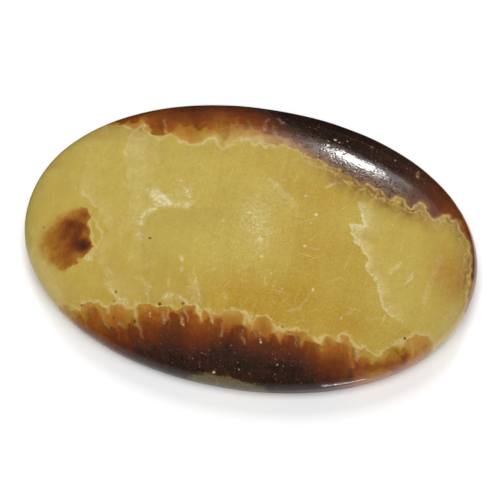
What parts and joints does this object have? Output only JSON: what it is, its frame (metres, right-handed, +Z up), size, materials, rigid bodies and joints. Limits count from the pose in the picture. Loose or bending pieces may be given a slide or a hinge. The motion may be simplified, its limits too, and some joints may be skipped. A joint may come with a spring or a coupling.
{
  "type": "oval calcite cabochon",
  "caption": "Oval cabochon of banded yellow and brown calcite, polished, with a low dome and a flat back, to be set in jewellery or kept as a specimen.",
  "frame": {"origin": "middle of the flat back, at the height of the surface that the stone rests on", "axes": "+X along the oval's long axis, +Y across it, +Z up through the top of the dome"},
  "size_m": [0.038, 0.026, 0.0062],
  "materials": {
    "polished_calcite": "polished, waxy and slightly translucent"
  },
  "bodies": {
    "root": {"oval_cabochon": "polished_calcite"}
  },
  "joints": []
}
